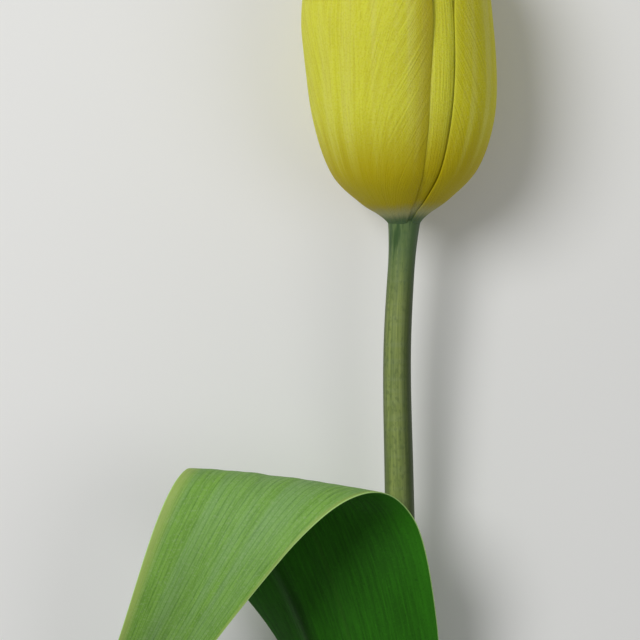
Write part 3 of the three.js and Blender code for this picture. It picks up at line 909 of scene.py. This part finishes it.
def leafFinish():
    # tulip leaf: a waxy cuticle over parallel veins. It looks pale and bluish above, where wax is
    # thick, and deep green below, darkened further there with painted shade
    c = {key: linearColour(value) for key, value in leafColours.items()}
    size = leafPattern
    material, tree, skin = newMaterial("tulip leaf", 0.55, 0.15)
    veins = addNode(tree, "ShaderNodeSeparateXYZ", {
        0: addNode(tree, "ShaderNodeUVMap", uv_map="veins").outputs[0]})
    share = addNode(tree, "ShaderNodeSeparateXYZ", {
        0: addNode(tree, "ShaderNodeUVMap", uv_map="share").outputs[0]})
    across, along = share.outputs[0], share.outputs[1]
    underside = addNode(tree, "ShaderNodeAttribute", attribute_name="face").outputs["Fac"]
    place = addNode(tree, "ShaderNodeTexCoord").outputs["Object"]

    def streaks(apart, detail, length):
        # long streaks down the leaf, slower along it by the length. The map is in centimetres
        y = addNode(tree, "ShaderNodeMath", {
            0: veins.outputs[1], 1: length}, operation="MULTIPLY").outputs[0]
        line = addNode(tree, "ShaderNodeCombineXYZ", {0: veins.outputs[0], 1: y, 2: apart}).outputs[0]
        return addNode(tree, "ShaderNodeTexNoise", {
            "Vector": line, "Scale": 10 / apart, "Detail": detail, "Roughness": 0.65}).outputs[0]

    fine = streaks(size["veinlet"], 3, 0.06)
    band = streaks(size["band"], 2, 0.05)
    # parallel veins as thin lines that wander a little, in centimetres from the nearest one
    bendSize, bend = size["wander"]
    bends = streaks(bendSize, 0, 0.02)
    wander = addNode(tree, "ShaderNodeMath", {
        0: bends, 1: bend, 2: veins.outputs[0]}, operation="MULTIPLY_ADD").outputs[0]
    fromVein = addNode(tree, "ShaderNodeMath", {
        0: wander, 1: size["vein"] / 20}, operation="PINGPONG").outputs[0]
    cells = addNode(tree, "ShaderNodeTexNoise", {
        "Vector": place, "Scale": 1 / (size["cell"] * mm), "Detail": 3, "Roughness": 0.75}).outputs[0]
    upper = layCoats(tree, c["upperDark"], [
        (fine, 0.26, 0.6, 1, c["upper"]),
        (band, 0.36, 0.72, 0.4, c["bloom"]),
        (cells, 0.5, 0.66, 0.45, c["wax"]),
        (cells, 0.48, 0.34, 0.3, c["upperDark"]),
        (fromVein, 0.024, 0.004, 0.3, c["upperVein"]),
        (across, -0.74, -0.97, 0.7, c["margin"]),
        (across, 0.93, 0.985, 0.5, c["margin"]),
    ])
    pastPleat = addNode(tree, "ShaderNodeMath", {
        0: across, 1: leafShape["pleat"][0]}, operation="SUBTRACT").outputs[0]
    fromPleat = addNode(tree, "ShaderNodeMath", {0: pastPleat}, operation="ABSOLUTE").outputs[0]
    pleatShadeShare = addNode(tree, "ShaderNodeMapRange", {
        0: along, 1: 0.46, 2: 0.3, 4: 0.75}, interpolation_type="SMOOTHSTEP").outputs[0]
    # the underside: its own deep green, darkened further with painted shade, and lighter towards its
    # right margin
    underWithShade = layCoats(tree, c["underDark"], [
        (fine, 0.3, 0.74, 1, c["under"]),
        (fromVein, 0.024, 0.004, 0.18, c["underSide"]),
        (across, 0.7, 0.97, 0.4, c["underSide"]),
        # painted shade down the pleat's channel
        (fromPleat, 0.11, 0.01, pleatShadeShare, c["pleat"]),
        (cells, 0.56, 0.72, 0.4, c["underSide"]),
        (cells, 0.44, 0.3, 0.35, c["pleat"]),
    ])
    colour = addNode(tree, "ShaderNodeMix", {
        0: underside, 6: upper, 7: underWithShade}, data_type="RGBA").outputs[2]
    # the midrib's line, pale where the foot clasps the stem out of the light, and the clear rim, partly
    # its own pale colour and partly painted light coming through it
    fromRib = addNode(tree, "ShaderNodeMath", {0: veins.outputs[0]}, operation="ABSOLUTE").outputs[0]
    away = addNode(tree, "ShaderNodeMath", {0: across}, operation="ABSOLUTE").outputs[0]
    colour = layCoats(tree, colour, [
        (fromRib, 0.07, 0.02, 0.15, c["rib"]),
        (along, 0.12, 0, 0.7, c["foot"]),
        # the clear rim: partly painted light coming through it
        (away, 0.985, 0.997, 1, c["rim"]),
    ])
    tree.links.new(colour, skin.inputs["Base Color"])
    both = addNode(tree, "ShaderNodeMath", {0: fine, 1: cells}, operation="ADD").outputs[0]
    relief = addNode(tree, "ShaderNodeBump", {
        "Strength": 0.6, "Distance": size["relief"] * mm, "Height": both})
    tree.links.new(relief.outputs[0], skin.inputs["Normal"])
    return material


stemColours = {
    "green": "#8c9a54",
    "dark": "#6b7c40",
    "bloom": "#93a184",
    "mottle": "#5a6b3a",
    # painted shade down the stem's sides
    "flankShade": "#2f401a",
    "neck": "#4f6d44",
    "patch": "#2f4f24",
    "cut": "#c3cf96",
    "cutRim": "#7f9a55",
}
stemPattern = {             # mm
    "strand": 0.7,
    "ring": 2.5,            # faint rings of growth
    "patch": 2.2,
    "mottle": 0.8,
    "pith": (1.6, 0.7),         # inside the cut's edge, where the pith ends and the rind starts
    "cutEdge": (0.15, 0.3),     # inside the edge, where the cut's colours start and are full
    "relief": 0.12,
}


def stemFinish():
    # tulip stem: firm living rind with a thin wax. It looks satin, streaked along its length and
    # bluer under the flower, with painted shade down its flanks
    c = {key: linearColour(value) for key, value in stemColours.items()}
    size = stemPattern
    material, tree, skin = newMaterial("tulip stem", 0.45, 0.25)
    straight = addNode(tree, "ShaderNodeAttribute", attribute_name="straight").outputs["Vector"]
    parts = addNode(tree, "ShaderNodeSeparateXYZ", {0: straight})
    right, up = parts.outputs[0], parts.outputs[1]

    def stretched(stretch, grain, detail):
        # a pattern on the stem as if it were straight, drawn out along or round it
        place = addNode(tree, "ShaderNodeMapping", {"Vector": straight, "Scale": stretch}).outputs[0]
        return addNode(tree, "ShaderNodeTexNoise", {
            "Vector": place, "Scale": 1 / grain, "Detail": detail, "Roughness": 0.6}).outputs[0]

    fine = stretched((1, 0.025, 1), size["strand"], 3)
    rings = stretched((0.1, 1, 0.1), size["ring"], 2)
    patch = stretched((1, 0.12, 1), size["patch"], 2)
    mottle = stretched((1, 0.5, 1), size["mottle"], 3)
    nearNeck = addNode(tree, "ShaderNodeMapRange", {
        0: up, 1: -24, 2: -6, 4: 0.8}, interpolation_type="SMOOTHSTEP").outputs[0]
    colour = layCoats(tree, c["dark"], [
        (fine, 0.3, 0.68, 1, c["green"]),
        (rings, 0.45, 0.7, 0.12, c["bloom"]),
        (mottle, 0.5, 0.34, 0.5, c["mottle"]),
        (right, -0.3, 3.3, 0.88, c["flankShade"]),       # painted shade down the right flank
        # painted shade, fainter, along the left edge
        (right, -2.4, -3.7, 0.55, c["flankShade"]),
        (up, -26, -3, 0.7, c["neck"]),
        (patch, 0.5, 0.62, nearNeck, c["patch"]),
    ])
    # the cut shows pale pith inside a green rind
    level = addNode(tree, "ShaderNodeMapping", {"Vector": straight, "Scale": (1, 0, 1)}).outputs[0]
    fromMiddle = addNode(tree, "ShaderNodeVectorMath", {0: level}, operation="LENGTH").outputs["Value"]
    atCut = addNode(tree, "ShaderNodeMapRange", {
        0: up, 1: 1 - stemShape["length"], 2: 0.6 - stemShape["length"]}).outputs[0]
    edge = stemShape["endRadius"]
    pithEnds, rindStarts = (edge - inside for inside in size["pith"])
    pith = layCoats(tree, c["cut"], [(fromMiddle, pithEnds, rindStarts, 1, c["cutRim"])])
    outside, inside = (edge - worn for worn in size["cutEdge"])
    colour = layCoats(tree, colour, [(fromMiddle, outside, inside, atCut, pith)])
    tree.links.new(colour, skin.inputs["Base Color"])
    relief = addNode(tree, "ShaderNodeBump", {
        "Strength": 0.6, "Distance": size["relief"] * mm, "Height": fine})
    tree.links.new(relief.outputs[0], skin.inputs["Normal"])
    return material


def speckledFinish(name, darker, lighter, grainSize, roughness):
    # small soft parts inside the flower: moist tissue, or pollen that makes an anther matt and grainy
    material, tree, skin = newMaterial(name, roughness, 0.35)
    place = addNode(tree, "ShaderNodeTexCoord").outputs["Object"]
    grain = addNode(tree, "ShaderNodeTexNoise", {
        "Vector": place, "Scale": 1 / (grainSize * mm), "Detail": 2, "Roughness": 0.6}).outputs[0]
    grainShare = addNode(tree, "ShaderNodeMapRange", {0: grain, 1: 0.35, 2: 0.65}).outputs[0]
    colour = addNode(tree, "ShaderNodeMix", {
        0: grainShare, 6: linearColour(darker), 7: linearColour(lighter)}, data_type="RGBA").outputs[2]
    tree.links.new(colour, skin.inputs["Base Color"])
    relief = addNode(tree, "ShaderNodeBump", {"Strength": 0.6, "Distance": 0.1 * mm, "Height": grain})
    tree.links.new(relief.outputs[0], skin.inputs["Normal"])
    return material


finishes = {
    "stem": stemFinish(),
    "leaf": leafFinish(),
    "petal": petalFinish(),
    "filament": speckledFinish("tulip filament", "#c9c873", "#dedd9a", 0.8, 0.45),
    "anther": speckledFinish("tulip anther", "#9c7a1c", "#cfae3e", 0.4, 0.85),
    "ovary": speckledFinish("tulip ovary", "#93a955", "#b4c47c", 1.5, 0.4),
    "stigma": speckledFinish("tulip stigma", "#d2cf86", "#e9e6b8", 0.5, 0.75),
}

# the tulip

made = [(makeStem(), "stem", "stem")]
print("stem made")
made.append((makeLeaf(), "leaf", "leaf"))
print("leaf made")
made += makePetals()
print("petals made")
made += makeStamens() + makePistil()
print("stamens and pistil made")
for piece, node, slotName in made:
    piece.data.materials.clear()
    piece.data.materials.append(finishes[slotName])
    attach(piece, "root")
    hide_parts(node)

# floor, light and camera

studio = {
    "floor": "#f0f0ee",
    "floorSize": 6,
    "floorDrop": 0.0002,    # a hair under the tulip, so that the two don't flicker
    "world": 0.24,
    "lightsAim": (-0.02, 0.02),         # m, along the stem from the neck, and up
    "lights": [             # name, direction from the flower, distance, size, watts
        ("key", (-0.5, 0.3, 0.8), 0.95, 0.5, 5.4),
        ("fill", (0.6, -0.1, 0.8), 1.3, 0.8, 2),
    ],
    "lens": 183.3,          # mm
    "sensor": 36,
    "clip": (0.05, 10),
    "cameraHeight": 0.9,
    "aimFromNeck": (-0.0227, -0.0273),
}


def makeStudio():
    s = studio
    clearSelection()
    bpy.ops.mesh.primitive_plane_add(size=s["floorSize"], location=(0, 0, -s["floorDrop"]))
    floor = bpy.context.object
    floor.name = "floor"
    material, tree, skin = newMaterial("matt painted board", 0.7, 0.3)
    skin.inputs["Base Color"].default_value = linearColour(s["floor"])
    floor.data.materials.append(material)

    world = bpy.data.worlds.new("studio")
    world.use_nodes = True
    world.node_tree.nodes["Background"].inputs[0].default_value = (1, 1, 1, 1)
    world.node_tree.nodes["Background"].inputs[1].default_value = s["world"]
    bpy.context.scene.world = world

    along, up = s["lightsAim"]
    middle = Vector((neck.x, neck.y + along, up))
    for name, way, distance, size, power in s["lights"]:
        way = Vector(way).normalized()
        lamp = bpy.data.lights.new(name, "AREA")
        lamp.shape = "DISK"
        lamp.size = size
        lamp.energy = power
        holder = bpy.data.objects.new(name, lamp)
        holder.location = middle + way * distance
        holder.rotation_euler = (-way).to_track_quat("-Z", "Y").to_euler()
        bpy.context.collection.objects.link(holder)

    camera = bpy.data.cameras.new("camera")
    camera.lens = s["lens"]
    camera.sensor_width = s["sensor"]
    camera.clip_start, camera.clip_end = s["clip"]
    holder = bpy.data.objects.new("camera", camera)
    x, y = s["aimFromNeck"]
    holder.location = (neck.x + x, neck.y + y, s["cameraHeight"])
    bpy.context.collection.objects.link(holder)
    bpy.context.scene.camera = holder
    bpy.context.scene.view_settings.view_transform = "Standard"


makeStudio()
print("studio made")
